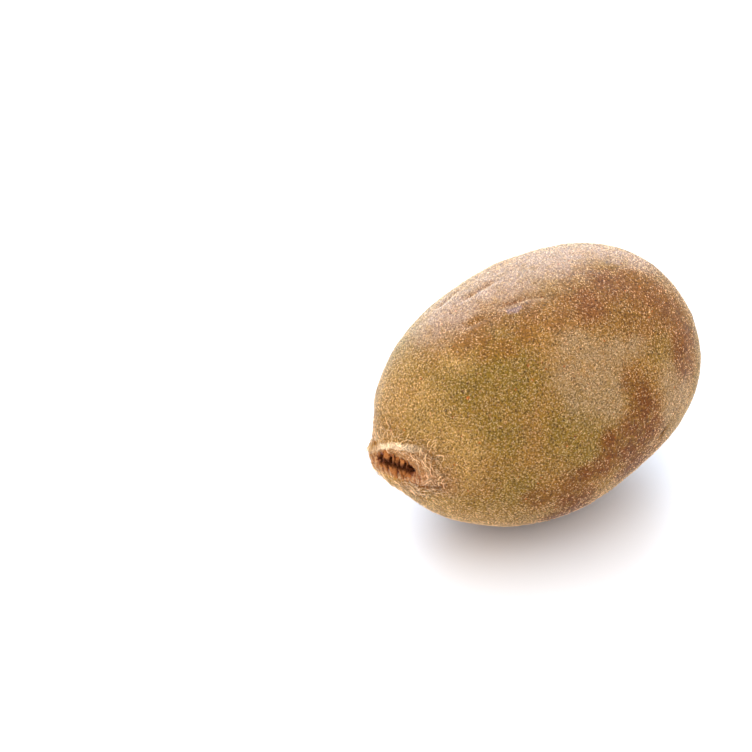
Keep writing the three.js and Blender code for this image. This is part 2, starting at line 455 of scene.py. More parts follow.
def patch_share(co, colour_name):
    """How far points lie in the patches of one colour, between 0 and 1."""
    share = np.zeros(len(co))
    for name, strength, spots in PATCHES:
        if name != colour_name:
            continue
        for *centre, radius in spots:
            gap = np.linalg.norm(co - centre, axis=1) / radius
            share = np.maximum(share, strength * ramp(*PATCH_EDGE, gap))
    return share


# Node trees

SHEEN_TINT = (0.82, 0.92, 1.0, 1.0)  # cool, on the skin and the hairs


def opaque(value):
    return value if isinstance(value, NodeSocket) else (*value[:3], 1.0)


class Nodes:
    """A node tree with short calls that add nodes to it."""

    def __init__(self, tree):
        self.tree = tree

    def put(self, socket, value):
        if isinstance(value, NodeSocket):
            self.tree.links.new(value, socket)
        elif value is not None:
            socket.default_value = value

    def add(self, kind, inputs=None, **values):
        made = self.tree.nodes.new(kind)
        for key, value in values.items():
            setattr(made, key, value)
        for key, value in (inputs or {}).items():
            self.put(made.inputs[key], value)
        return made

    def math(self, operation, a, b=None, c=None):
        return self.add("ShaderNodeMath", {0: a, 1: b, 2: c}, operation=operation).outputs[0]

    def times(self, product, *factors):
        for factor in factors:
            product = self.math("MULTIPLY", product, factor)
        return product

    def vector(self, operation, a, b=None, scale=None):
        made = self.add("ShaderNodeVectorMath", {0: a, 1: b, 3: scale}, operation=operation)
        single = operation in ("DISTANCE", "DOT_PRODUCT")
        return made.outputs["Value" if single else "Vector"]


class Shader(Nodes):
    """A shader's node tree, with calls for the finishes. Its found is the colour so far."""

    found = None

    def paint(self, share, value, blend="MIX"):
        self.found = self.mix(share, self.found, value, blend)

    def shade(self, scale):
        self.found = self.vector("SCALE", self.found, scale=scale)

    def range(self, value, low, high, to_low=0.0, to_high=1.0):
        inputs = {0: value, 1: low, 2: high, 3: to_low, 4: to_high}
        return self.add("ShaderNodeMapRange", inputs, interpolation_type="SMOOTHSTEP").outputs[0]

    def mix(self, share, a, b, blend="MIX"):
        inputs = {0: share, 6: opaque(a), 7: opaque(b)}
        return self.add("ShaderNodeMix", inputs, data_type="RGBA", blend_type=blend).outputs[2]

    def noise(self, place, size, detail=3.0, rough=0.5, distortion=0.0, output=0):
        """Noise with lumps of this size in mm, between 0 and 1."""
        return self.add("ShaderNodeTexNoise", {
            "Vector": place, "Scale": 1 / (size * MM), "Detail": detail,
            "Roughness": rough, "Distortion": distortion,
        }).outputs[output]

    def cells(self, place, size, **values):
        """Distances in scattered cells, about this size in mm."""
        inputs = {"Vector": place, "Scale": 1 / (size * MM)}
        return self.add("ShaderNodeTexVoronoi", inputs, **values).outputs["Distance"]

    def bump(self, height, distance):
        return self.add("ShaderNodeBump", {"Height": height, "Distance": distance}).outputs[0]

    def attribute(self, name):
        return self.add("ShaderNodeAttribute", attribute_name=name).outputs["Fac"]

    def group(self, tree, inputs):
        return self.add("ShaderNodeGroup", inputs, node_tree=tree).outputs

    def place(self):
        return self.add("ShaderNodeTexCoord").outputs["Object"]


def new_group(name, inputs, outputs):
    """A shader node group: its Shader, what it is given and where its results go."""
    tree = bpy.data.node_groups.new(name, "ShaderNodeTree")
    for way, sockets in (("INPUT", inputs), ("OUTPUT", outputs)):
        for label, kind in sockets:
            tree.interface.new_socket(label, in_out=way, socket_type="NodeSocket" + kind)
    given = tree.nodes.new("NodeGroupInput").outputs
    return Shader(tree), given, tree.nodes.new("NodeGroupOutput").inputs


def new_material(name):
    """The Shader of a new material."""
    material = bpy.data.materials.new(name)
    material.use_nodes = True
    net = Shader(material.node_tree)
    net.material = material
    return net


def finish(net, normal=None, **numbers):
    """The material, its colour and normal joined up and plain values set on its shader."""
    inputs = net.tree.nodes["Principled BSDF"].inputs
    net.put(inputs["Base Color"], net.found)
    net.put(inputs["Normal"], normal)
    for label, value in numbers.items():
        inputs[label.replace("_", " ")].default_value = value
    return net.material


def patch_group():
    """How far a place lies in a round patch with a soft edge."""
    net, given, out = new_group(
        "Patch", (("Place", "Vector"), ("Centre", "Vector"), ("Radius", "Float")),
        (("Share", "Float"),),
    )
    gap = net.vector("DISTANCE", given["Place"], given["Centre"])
    gap = net.math("DIVIDE", gap, given["Radius"])
    net.put(out["Share"], net.range(gap, *PATCH_EDGE))
    return net.tree


def slit_group():
    """How far a place is from the slit, along it and above its middle line, in mm."""
    net, given, out = new_group(
        "Slit distance", (("Place", "Vector"),),
        (("Gap", "Float"), ("Along", "Float"), ("Above", "Float")),
    )
    off = net.vector("SUBTRACT", given["Place"], SLIT_MIDDLE * MM)
    along = net.vector("DOT_PRODUCT", off, SLIT_ALONG / MM)
    across = net.vector("DOT_PRODUCT", off, SLIT_ACROSS / MM)
    past = net.math("SUBTRACT", net.math("ABSOLUTE", along), SLIT_HALF_LENGTH)
    past = net.math("MAXIMUM", past, 0.0)
    squares = net.math("MULTIPLY_ADD", past, past, net.times(across, across))
    depth = net.add("ShaderNodeSeparateXYZ", {0: given["Place"]}).outputs[0]
    far = net.range(depth, BEAK_BEHIND * MM, BEAK_FRONT * MM, FAR_AWAY, 0)
    net.put(out["Gap"], net.math("ADD", net.math("SQRT", squares), far))
    net.put(out["Along"], along)
    net.put(out["Above"], across)
    return net.tree


def paint_patches(net, place, look):
    """Paints the skin's broad patches, with ragged edges. Gives how calm its fuzz is."""
    ragged = 7 * MM  # how far the patches' edges stray
    wobble = net.noise(place, 7, 5, 0.68, output=1)
    wobble = net.vector("SUBTRACT", wobble, (0.5, 0.5, 0.5))
    bent = net.vector("ADD", place, net.vector("SCALE", wobble, scale=ragged))
    patch = patch_group()
    broad = net.noise(place, 16, 3)
    net.found = opaque(look.gold)
    net.paint(net.range(broad, 0.42, 0.62, 0, 0.5), look.olive)
    broken = net.range(net.noise(place, 2.2, 5, 0.65), 0.3, 0.55, 0.35, 1.0)
    calm = 0.0
    for name, strength, spots in PATCHES:
        share = 0.0
        for *centre, radius in spots:
            given = {"Place": bent, "Centre": np.array(centre) * MM, "Radius": radius * MM}
            share = net.math("MAXIMUM", net.group(patch, given)[0], share)
        if name in CALM:
            calm = net.math("MAXIMUM", net.times(share, CALM[name]), calm)
        net.paint(net.times(share, broken, strength), getattr(look, name))
    return calm


def paint_specks(net, place, look):
    """Paints scattered orange and dark specks, small pits, and the spots and scars."""
    net.paint(net.range(net.cells(place, 2.9), 0.09, 0.06, 0, 0.75), look.ember)
    net.paint(net.range(net.cells(place, 4.3), 0.07, 0.045, 0, 0.8), look.slit)
    pits = net.range(net.cells(place, 1.2), 0.24, 0.12)
    where = net.range(net.noise(place, 7, 2), 0.4, 0.6, 0.1, 0.6)
    net.paint(net.times(pits, where), look.pit)
    for name, spots in SPOTS:
        for *centre, radius in spots:
            away = net.vector("DISTANCE", place, np.array(centre) * MM)
            spot = net.range(away, 1.2 * radius * MM, 0.5 * radius * MM, 0, 0.85)
            net.paint(spot, getattr(look, name))


def paint_beak(net, place, look):
    """Paints the lips, ridge and crease round the slit, with painted highlights and shade on the
    folds, ridge, crease and lower lip. Gives the uneven distance from it.
    """
    uneven = net.noise(place, 1.6, 3, 0.6)
    slit = net.group(slit_group(), {"Place": place})
    along, above = slit["Along"], slit["Above"]
    gap = net.math("MULTIPLY_ADD", uneven, 2.4, net.math("ADD", slit["Gap"], -1.2))

    # Ripples round the slit's near end: a painted highlight on top and painted shade between.
    away = net.vector("DISTANCE", place, SLIT_END * MM)
    away = net.times(away, 2 * math.pi / (1.05 * MM))
    lit_ripples = net.math("SINE", net.math("MULTIPLY_ADD", uneven, 9, away))
    near_end = net.times(net.range(gap, 7.5, 4), net.range(along, 3, 5.5))
    lit_ripples = net.times(net.range(lit_ripples, -0.6, 0.8), near_end)
    net.paint(net.times(lit_ripples, 0.7), look.lip)
    furrows = net.times(net.range(lit_ripples, 0.3, 0.05, 0, 0.5), near_end)
    net.paint(furrows, look.bark)

    # The lips, between the ridge and the crease.
    climb = net.math("MULTIPLY_ADD", along, -RIDGE_ARCH, RIDGE_CLIMB)
    climb = net.math("MULTIPLY_ADD", along, climb, RIDGE_ABOVE)
    over = net.math("SUBTRACT", above, climb)
    over = net.math("MULTIPLY_ADD", uneven, 1.4, net.math("SUBTRACT", over, 0.7))
    crease = net.math("SUBTRACT", above, CREASE_ABOVE)
    between = net.times(
        net.range(over, 0.4, -0.4), net.range(gap, 5.6, 3.4),
        net.range(crease, -0.3, 0.3, 0, 0.85),
    )
    lips = net.mix(net.range(above, -0.6, 0.6), look.under_lip, look.lip)
    net.paint(between, lips)

    # Painted shadows of the styles on the lower lip, along the furrows they press into it.
    winding = net.math("SINE", net.times(above, FURROW_WINDING))
    style_shadows = net.math("MULTIPLY_ADD", uneven, 0.5, along)
    style_shadows = net.math("MULTIPLY_ADD", winding, FURROW_BEND, style_shadows)
    style_shadows = net.math("COSINE", net.times(style_shadows, 2 * math.pi / FURROW_PITCH))
    style_shadows = net.times(
        net.range(style_shadows, 0.0, 0.9, 0, 0.6), net.range(gap, 3.4, 2.2),
        net.range(above, 0.5, -0.5),
    )
    net.paint(style_shadows, look.wall)

    # The pale ridge, partly a painted highlight along its crest, and the painted shade of the
    # crease.
    ridge = net.times(
        net.range(net.math("ABSOLUTE", over), 0.95, 0.3), net.range(gap, 7.5, 6),
        net.range(along, 10, 4.5), net.range(along, -7, -3, 0.4, 1),
    )
    net.paint(ridge, look.cream)
    crease = net.times(
        net.range(net.math("ABSOLUTE", crease), 0.7, 0.15, 0, 0.75),
        net.range(along, 1, 4), net.range(gap, 8.5, 5),
    )
    net.paint(crease, look.bark)
    ends = net.range(net.math("ABSOLUTE", along), 3.6, 5.4, 0, 0.9)
    return net.math("ADD", gap, ends)


def skin_colour_group(look):
    """The skin's patchy colour, its distance from the slit and how calm its fuzz is."""
    net, given, out = new_group(
        "Skin colour", (("Place", "Vector"),),
        (("Color", "Color"), ("Gap", "Float"), ("Calm", "Float")),
    )
    place = given["Place"]
    net.put(out["Calm"], paint_patches(net, place, look))
    paint_specks(net, place, look)
    net.put(out["Gap"], paint_beak(net, place, look))
    net.put(out["Color"], net.found)
    return net.tree


def skin_material(look, colours):
    net = new_material("fuzzy skin")
    place = net.place()
    base = net.group(colours, {"Place": place})
    net.found, gap = base["Color"], base["Gap"]
    mottle = net.noise(place, 3.2, 4, 0.6)
    net.paint(1.0, net.mix(mottle, (0.8,) * 3, (1.12,) * 3), "MULTIPLY")

    # Dark gaps between the hairs: the skin's own darker brown, deepened as painted shade, lighter
    # by the slit and in the calm patches.
    curls = net.noise(place, 0.3, 3, 0.6, 0.6)
    gap_shade = net.range(curls, 0.36, 0.6, 0.2, 0.98)
    gap_shade = net.math("ADD", gap_shade, net.range(gap, 6.5, 4, 0, 0.32))
    gap_shade = net.math("MULTIPLY_ADD", base["Calm"], net.math("SUBTRACT", 0.8, gap_shade), gap_shade)
    net.shade(gap_shade)
    dots = net.range(net.cells(place, 1.0), 0.27, 0.13, 0, 0.7)
    net.paint(dots, look.lip)

    # The slit's walls and floor, darker partly as their own dried tissue and partly as painted
    # shade in the recess, and the dimple round the button.
    inside = net.math("ADD", gap, net.range(curls, 0.3, 0.7, -0.35, 0.35))
    net.paint(net.range(inside, 2.2, 1.4), look.wall)
    net.paint(net.range(inside, 1.0, 0.5), look.slit)
    stem_gap = net.vector("DISTANCE", place, STEM_MIDDLE * MM)
    net.paint(net.range(stem_gap, 6.8 * MM, 3.6 * MM, 0, 0.75), look.bark)

    grain = net.math("ADD", net.times(curls, 0.7), net.noise(place, 1.4, 3))
    grain = net.math("ADD", grain, net.times(dots, 0.8))
    return finish(
        net, net.bump(grain, look.grain_height * 2), Roughness=0.62, Specular_IOR_Level=0.15,
        Sheen_Weight=0.14, Sheen_Roughness=0.3, Sheen_Tint=SHEEN_TINT,
    )


def fuzz_material(look, colours):
    net = new_material("fuzz")
    base = net.group(colours, {"Place": net.place()})
    tone = net.attribute("tone")
    hue = net.math("FRACT", net.times(tone, 7.3))
    bright = net.math("MULTIPLY_ADD", tone, 1.9, 0.64)
    less = net.math("SUBTRACT", 1.4, bright)
    bright = net.math("MULTIPLY_ADD", base["Calm"], less, bright)
    on_bald = net.math("MULTIPLY_ADD", net.attribute("bald"), 0.85, 1.0)
    net.found = base["Color"]
    net.paint(net.range(hue, 0.7, 1, 0, 0.3), look.reddish)
    net.paint(net.range(hue, 0.3, 0, 0, 0.3), look.greenish)
    net.paint(0.32, look.pale)
    net.shade(net.times(bright, on_bald))
    net.paint(net.range(base["Gap"], 5, 2.5, 0, 0.12), look.pale)
    return finish(
        net, Roughness=0.45, Specular_IOR_Level=0.35,
        Sheen_Weight=0.5, Sheen_Roughness=0.3, Sheen_Tint=SHEEN_TINT,
    )


# The skin

FAR_LIP_DROP = 0.7 * MM  # how far the upper lip sinks towards the slit's far end
PUCKERS = 11  # folds round the button


def fold_beak(skin, look):
    """Folds and furrows the skin round the slit, raises its ridge and lowers its far lip."""
    co = points_of(skin)
    along, across, gap = slit_places(co)
    away = np.linalg.norm(co - SLIT_END, axis=1)
    turn = np.arctan2(across, along - SLIT_HALF_LENGTH)
    front = beak_share(co)
    folds = ripple(2 * np.pi * (away + 0.35 * np.sin(3 * turn + 1)) / 1.45)
    folds *= ramp(1.9, 1.2, np.abs(turn)) * front
    folds *= ramp(0.9, 1.8, away) * ramp(8.5, 4.5, away)
    raise_by(skin, folds, look.fold_height)
    winding = FURROW_BEND * np.sin(FURROW_WINDING * across)
    furrows = ripple(2 * np.pi * (along + winding) / FURROW_PITCH)
    near = ramp(0.3, 1.1, gap) * ramp(5.0, 2.4, gap)
    raise_by(skin, furrows * near * front, -look.furrow_depth)
    ridge = ridge_share(along, across, gap) * ramp(-5, -1, along)
    raise_by(skin, ridge, look.ridge_height)
    far_lip = ramp(-2.5, -6, along) * front
    far_lip *= ramp(0.5, 2.5, across) * ramp(8, 4, across)
    raise_by(skin, far_lip, -FAR_LIP_DROP)
    raise_by(skin, crease_share(along, across, gap), -0.5 * look.crease_depth)


def fold_skin(skin, look):
    """Folds the beak, presses in the creases and dents, and puckers the skin round the stem."""
    fold_beak(skin, look)
    for line in (*CREASES, NICK):
        raise_by(skin, line_share(points_of(skin), line, 0.5), -look.crease_depth)
    for line in DENTS:
        raise_by(skin, line_share(points_of(skin), line, 0.8), -1.5 * look.crease_depth)
    off = points_of(skin) - STEM_MIDDLE
    round_stem = np.arctan2(off[:, 1], off[:, 2])
    out = np.hypot(off[:, 1], off[:, 2]) + FAR_AWAY * (off[:, 0] < -8)
    puckers = ripple(PUCKERS * round_stem + 1.3 * np.sin(3 * round_stem))
    near = ramp(3.4, 4.6, out) * ramp(11, 6, out)
    raise_by(skin, puckers * near, -look.furrow_depth)


def build_skin(look):
    skin = merged_copy("fruit", "skin")
    edit(skin)
    bpy.ops.mesh.tris_convert_to_quads(face_threshold=math.pi / 3, shape_threshold=math.pi / 2)
    done()
    apply(skin, "SUBSURF", levels=2, render_levels=2)
    fold_skin(skin, look)
    co = points_of(skin)
    gap = slit_places(co)[2]
    outside = ramp(0.1, 3.0, co[:, 2]) * ramp(0.8, 2.5, gap)
    roughen(skin, "broad lumps", 9, 2 * look.lump_height, outside)
    roughen(skin, "small lumps", 2.4, 0.9 * look.lump_height, outside)
    wrinkled = outside * ramp(11, 3, gap)
    roughen(skin, "wrinkles", 1.1, 1.6 * look.lump_height, wrinkled)
    skin.data.materials.append(skin_material(look, skin_colour_group(look)))
    finish_piece(skin, "fuzzy_skin", "fruit")


# The fuzz

# Each curl's rings: their places along the hair, sideways and up, as shares of its length, and
# how wide it is there.
HAIR_ROOT = (-0.02, 0, -0.1, 1.0)
CURLS = (
    (HAIR_ROOT, (0.42, 0.06, 0.12, 0.85), (0.8, 0.46, 0.06)),
    (HAIR_ROOT, (0.36, -0.12, 0.13, 0.85), (0.52, -0.62, 0.08)),
    (HAIR_ROOT, (0.3, 0.1, 0.18, 0.8), (0.6, 0.42, 0.24)),
    (HAIR_ROOT, (0.46, -0.08, 0.11, 0.85), (0.98, 0.02, 0.06)),
    (HAIR_ROOT, (0.34, 0.14, 0.14, 0.85), (0.3, 0.62, 0.1)),
)
LONG_CURLS = (
    ((0, 0, -0.06, 1), (0.1, 0.03, 0.03, 1), (0.3, 0.14, 0.06, 1), (0.46, 0.32, 0.07, 1),
     (0.5, 0.54, 0.06, 0.9), (0.42, 0.72, 0.05)),
    ((0, 0, -0.06, 1), (0.12, -0.02, 0.03, 1), (0.34, -0.1, 0.06, 1), (0.55, -0.22, 0.07, 1),
     (0.72, -0.4, 0.05, 0.9), (0.78, -0.6, 0.04)),
    ((0, 0, -0.06, 1), (0.14, 0.04, 0.04, 1), (0.36, 0.08, 0.08, 1), (0.6, 0.02, 0.09, 1),
     (0.82, -0.1, 0.06, 0.9), (1.0, -0.26, 0.04)),
)
HAIR_WIDTH = 0.056  # half a short hair's width at its root, as a share of its length
LONG_WIDTH = 0.032  # the same for the long curls round the slit
HAIR_SIDES = 3
SOFTNESS = 0.6  # how far a hair takes its shading from the skin under it

# The bands of the fuzz and where each starts along the long axis, in mm.
BANDS = (("fuzz_beak", -60), ("fuzz_blossom", -19), ("fuzz_middle", -5), ("fuzz_stem", 11))
BANDS_END = 60

HAIR_SEED, LONG_SEED = 4, 9
MOST_HAIRS = 9e6  # on a square metre, so many that their spacing sets how many there are


def model_curl(name, rings, width):
    """One hair of unit length, drawn out ring by ring from a triangle to a tip."""
    path = np.array([ring[:3] for ring in rings], float)
    bpy.ops.object.select_all(action="DESELECT")
    bpy.ops.mesh.primitive_circle_add(
        vertices=HAIR_SIDES, radius=width, fill_type="NGON", location=rings[0][:3]
    )
    curl = named(name)
    bpy.ops.object.transform_apply(location=True)
    edit(curl)
    for step in np.diff(path, axis=0):
        bpy.ops.mesh.extrude_region_move(TRANSFORM_OT_translate={"value": step})
    bpy.ops.mesh.merge(type="CENTER")
    done()
    ways = np.gradient(path, axis=0)
    for corner in curl.data.vertices:
        here = int(np.argmin(np.linalg.norm(path - corner.co, axis=1)))
        if here == len(rings) - 1:
            continue
        way = Vector(ways[here]).normalized()
        side = way.cross((0, 0, 1)).normalized()
        turn = math.pi / 2 + (corner.index % HAIR_SIDES) * 2 * math.pi / HAIR_SIDES
        out = side * math.cos(turn) + side.cross(way) * math.sin(turn)
        corner.co = Vector(path[here]) + out * width * rings[here][3]
    edit(curl)
    bpy.ops.mesh.normals_make_consistent(inside=False)
    done()
    bpy.ops.object.shade_smooth()
    return curl


def model_curls(name, shapes, width):
    """A collection of one hair of each shape."""
    curls = bpy.data.collections.new(name)
    bpy.context.scene.collection.children.link(curls)
    for i, rings in enumerate(shapes):
        curl = model_curl(f"{name} {i}", rings, width)
        for collection in list(curl.users_collection):
            collection.objects.unlink(curl)
        curls.objects.link(curl)
    return curls


def remove_curls(curls):
    for curl in list(curls.objects):
        bpy.data.objects.remove(curl)
    bpy.data.collections.remove(curls)


class Scatter(Nodes):
    """A geometry node tree, with calls for what sets the hairs."""

    def __init__(self, name):
        super().__init__(bpy.data.node_groups.new(name, "GeometryNodeTree"))
        for way in ("INPUT", "OUTPUT"):
            self.tree.interface.new_socket(
                "Geometry", in_out=way, socket_type="NodeSocketGeometry"
            )

    def attribute(self, name, kind="FLOAT"):
        made = self.add("GeometryNodeInputNamedAttribute", {"Name": name}, data_type=kind)
        return made.outputs["Attribute"]

    def store(self, points, name, value, kind="FLOAT"):
        return self.add(
            "GeometryNodeStoreNamedAttribute", {0: points, "Name": name, "Value": value},
            data_type=kind, domain="POINT",
        ).outputs[0]

    def random(self, low, high, seed):
        return self.add("FunctionNodeRandomValue", {2: low, 3: high, "Seed": seed}).outputs[1]

    def combine(self, x, y, z):
        return self.add("ShaderNodeCombineXYZ", {0: x, 1: y, 2: z}).outputs[0]


def scatter_tree(name, curls, density, spacing, hair_length, material, seed, low, high):
    """Sets curls over the skin between two distances along the long axis."""
    tree = Scatter(name)
    start = tree.add("NodeGroupInput").outputs[0]
    spread = tree.add(
        "GeometryNodeDistributePointsOnFaces",
        {"Mesh": start, "Distance Min": spacing, "Density Max": MOST_HAIRS,
         "Density Factor": tree.attribute(density), "Seed": seed},
        distribute_method="POISSON",
    ).outputs
    points = tree.store(spread["Points"], "skin normal", spread["Normal"], "FLOAT_VECTOR")
    place = tree.add("GeometryNodeInputPosition").outputs[0]
    off = tree.vector("SUBTRACT", place, EGG_CENTRE * MM)
    far = tree.vector("DOT_PRODUCT", off, LONG_AXIS)
    under, over = tree.math("LESS_THAN", far, low * MM), tree.math("GREATER_THAN", far, high * MM)
    points = tree.add(
        "GeometryNodeDeleteGeometry", {0: points, 1: tree.math("MAXIMUM", under, over)},
        domain="POINT",
    ).outputs[0]
    points = tree.store(points, "tone", tree.random(0, 1, seed + 1))
    upright = tree.add(
        "FunctionNodeAlignRotationToVector", {"Vector": spread["Normal"]}, axis="Z"
    ).outputs[0]
    laid = tree.add(
        "FunctionNodeAlignRotationToVector",
        {"Rotation": upright, "Vector": tree.attribute("lay", "FLOAT_VECTOR")},
        axis="X", pivot_axis="Z",
    ).outputs[0]
    stray = tree.times(tree.attribute("stray"), tree.random(-1, 1, seed + 2))
    turned = tree.add(
        "FunctionNodeRotateRotation", {"Rotation": laid, "Rotate By": tree.combine(0, 0, stray)},
        rotation_space="LOCAL",
    ).outputs[0]
    size = tree.times(
        tree.attribute("fuzz length"), tree.random(0.72, 1.28, seed + 3), hair_length
    )
    shapes = tree.add(
        "GeometryNodeCollectionInfo",
        {"Collection": curls, "Separate Children": True, "Reset Children": True},
    ).outputs[0]
    made = tree.add("GeometryNodeInstanceOnPoints", {
        "Points": points, "Instance": shapes, "Pick Instance": True,
        "Rotation": turned, "Scale": tree.combine(size, hair_length, hair_length),
    }).outputs[0]
    real = tree.add("GeometryNodeRealizeInstances", {0: made}).outputs[0]
    done = tree.add("GeometryNodeSetMaterial", {0: real, "Material": material}).outputs[0]
    tree.put(tree.add("NodeGroupOutput").inputs[0], done)
    return tree.tree


def store(obj, name, values):
    """A number or vector for each corner of a mesh, as an attribute."""
    kind, key = ("FLOAT", "value") if values.ndim == 1 else ("FLOAT_VECTOR", "vector")
    made = obj.data.attributes.new(name, kind, "POINT")
    made.data.foreach_set(key, values.astype(np.float32).ravel())


def mark_fuzz(skin):
    """Stores how dense and long the hairs are and which way they lie."""
    co, normals = points_of(skin), vectors_of(skin.data, "normal")
    along, across, gap = slit_places(co)
    bald = np.maximum(patch_share(co, "russet"), 0.9 * patch_share(co, "bark"))
    bald = np.maximum(bald, 0.9 * patch_share(co, "amber"))
    bald *= 1 - patch_share(co, "ash")
    clear = ramp(0.5, 1.2, co[:, 2]) * ramp(1.8, 4.0, gap)
    clear *= 1 - 0.8 * ridge_share(along, across, gap)
    stem_gap = np.linalg.norm(co - STEM_MIDDLE, axis=1)
    clear *= ramp(3.5, 5.0, stem_gap) * (1 - line_share(co, NICK, 0.7))
    store(skin, "bald", bald)
    store(skin, "fuzz density", (1 - 0.85 * bald) * clear)
    combed = patch_share(co, "frost_and_sheen")
    long = (1 + 0.3 * ramp(6.5, 3.0, gap)) * (1 + 0.6 * combed)
    low = ramp(0.5, 3.0, co[:, 2])
    store(skin, "fuzz length", (1 - 0.4 * bald) * long * (0.5 + 0.5 * low))
    nearest = np.clip(along, -SLIT_HALF_LENGTH, SLIT_HALF_LENGTH)
    round_slit = np.cross(normals, co - SLIT_MIDDLE - nearest[:, None] * SLIT_ALONG)
    share = ramp(8, 4, gap)[:, None]
    free = unit(np.cross(normals, LONG_AXIS)) + 1.6 * combed[:, None] * LONG_AXIS
    store(skin, "lay", share * unit(round_slit) + (1 - share) * free)
    store(skin, "stray", 2.6 - 1.8 * np.maximum(np.maximum(bald, combed), share[:, 0]))
    store(skin, "curl density", 0.7 * ramp(2.4, 3.6, gap) * ramp(8, 5, gap) * clear)


def map_hairs(obj, corners_each):
    """Gives each hair a small square of its own on a map, so that a bake colours it alone."""
    mesh = obj.data
    count = len(mesh.vertices) // corners_each
    side = math.ceil(math.sqrt(count))
    corners = np.empty(len(mesh.loops), int)
    mesh.loops.foreach_get("vertex_index", corners)
    hair, corner = corners // corners_each, corners % corners_each
    turn = 2 * np.pi * HAIR_SIDES * corner / corners_each
    places = np.stack([hair % side + 0.5 + 0.32 * np.cos(turn),
                       hair // side + 0.5 + 0.32 * np.sin(turn)], 1) / side
    layer = mesh.uv_layers.new(name="OFBake")
    layer.uv.foreach_set("vector", places.astype(np.float32).ravel())


def grow_band(seedbed, name, curls, *scatter):
    """One piece of the fuzz: hairs on a copy of the skin, which then goes."""
    band = new_copy(seedbed, name)
    corners_each = len(curls.objects[0].data.vertices)
    apply(band, "NODES", node_group=scatter_tree(name, curls, *scatter))
    mesh = band.data
    finish_piece(band, "fuzzy_skin")
    skin_normals = np.empty(len(mesh.vertices) * 3, np.float32)
    mesh.attributes["skin normal"].data.foreach_get("vector", skin_normals)
    own = vectors_of(mesh, "normal")
    shared = SOFTNESS * skin_normals.reshape(-1, 3) + (1 - SOFTNESS) * own
    mesh.normals_split_custom_set_from_vertices(unit(shared))
    for spent in ("fuzz density", "fuzz length", "lay", "stray", "curl density", "skin normal"):
        mesh.attributes.remove(mesh.attributes[spent])
    map_hairs(band, corners_each)


def build_fuzz(look):
    seedbed = new_copy(bpy.data.objects["skin"], "seedbed")
    seedbed.parent = None
    for key in [k for k in seedbed.keys() if k.startswith("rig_")]:
        del seedbed[key]
    mark_fuzz(seedbed)
    material = fuzz_material(look, bpy.data.node_groups["Skin colour"])
    short = model_curls("short curl", CURLS, HAIR_WIDTH)
    ends = [start for _, start in BANDS[1:]] + [BANDS_END]
    for (name, low), high in zip(BANDS, ends):
        grow_band(
            seedbed, name, short, "fuzz density", look.spacing,
            look.hair_length, material, HAIR_SEED, low, high,
        )
    remove_curls(short)
    long = model_curls("long curl", LONG_CURLS, LONG_WIDTH)
    grow_band(
        seedbed, "lip_curls", long, "curl density", 1.8 * look.spacing,
        2.5 * look.hair_length, material, LONG_SEED, BANDS[0][1], 0,
    )
    remove_curls(long)
    bpy.data.objects.remove(seedbed)


# The dried styles and the stem button


def style_material(look):
    net = new_material("dried styles")
    place = net.place()
    off = net.vector("SUBTRACT", place, SLIT_MIDDLE * MM)
    across = net.vector("DOT_PRODUCT", off, SLIT_ACROSS / MM)
    upper = net.range(across, -0.2, 0.2, 0, -0.45)
    uneven = net.noise(place, 0.9, 3)
    across = net.math("ADD", net.math("ABSOLUTE", across), upper)
    across = net.math("MULTIPLY_ADD", uneven, 1.2, across)
    # The root's dark brown deep in the slit is partly painted shade; it pales to the dried tips.
    net.found = opaque(look.root)
    net.paint(net.range(across, 0.75, 1.7), look.tip)
    streaks = net.noise(net.vector("MULTIPLY", place, (0.35, 1, 1)), 0.22, 2)
    net.paint(net.range(streaks, 0.35, 0.65, 0.45, 0), look.root)
    return finish(net, net.bump(streaks, 0.06 * MM), Roughness=0.8, Specular_IOR_Level=0.1)


def part_styles(styles):
    """Parts the two rows, so that the slit shows between them, and leans the tips unevenly."""
    co = points_of(styles)
    along, across, _ = slit_places(co)
    side = np.sign(across)
    reach = ramp(0.2, 1.4, np.abs(across))
    lean = 0.3 * np.sin(1.9 * along + 1.7 * side) + 0.2 * np.sin(4.7 * along - side)
    sunk = 0.5 + 0.5 * np.sin(2.9 * along + 2.2 * side + 0.8)
    co += SLIT_ACROSS * (0.15 * side * reach)[:, None]
    co += SLIT_ALONG * (lean * reach)[:, None]
    co[:, 0] += (0.25 * (side > 0) + 0.5 * sunk) * reach
    styles.data.vertices.foreach_set("co", (co * MM).ravel())
    styles.data.update()


def build_styles(look):
    styles = merged_copy("dried_styles", "withered_styles")
    apply(styles, "REMESH", mode="VOXEL", voxel_size=0.1 * MM)
    apply(styles, "SMOOTH", factor=0.5, iterations=3)
    raise_by(styles, np.ones(len(styles.data.vertices)), -look.thinning)
    part_styles(styles)
    roughen(styles, "leaning", 1.6, 4 * look.roughening)
    roughen(styles, "withering", 0.55, 1.8 * look.roughening)
    roughen(styles, "shrivelling", 0.22, 0.4 * look.roughening)
    styles.data.materials.append(style_material(look))
    finish_piece(styles, "withered_style", "dried_styles")


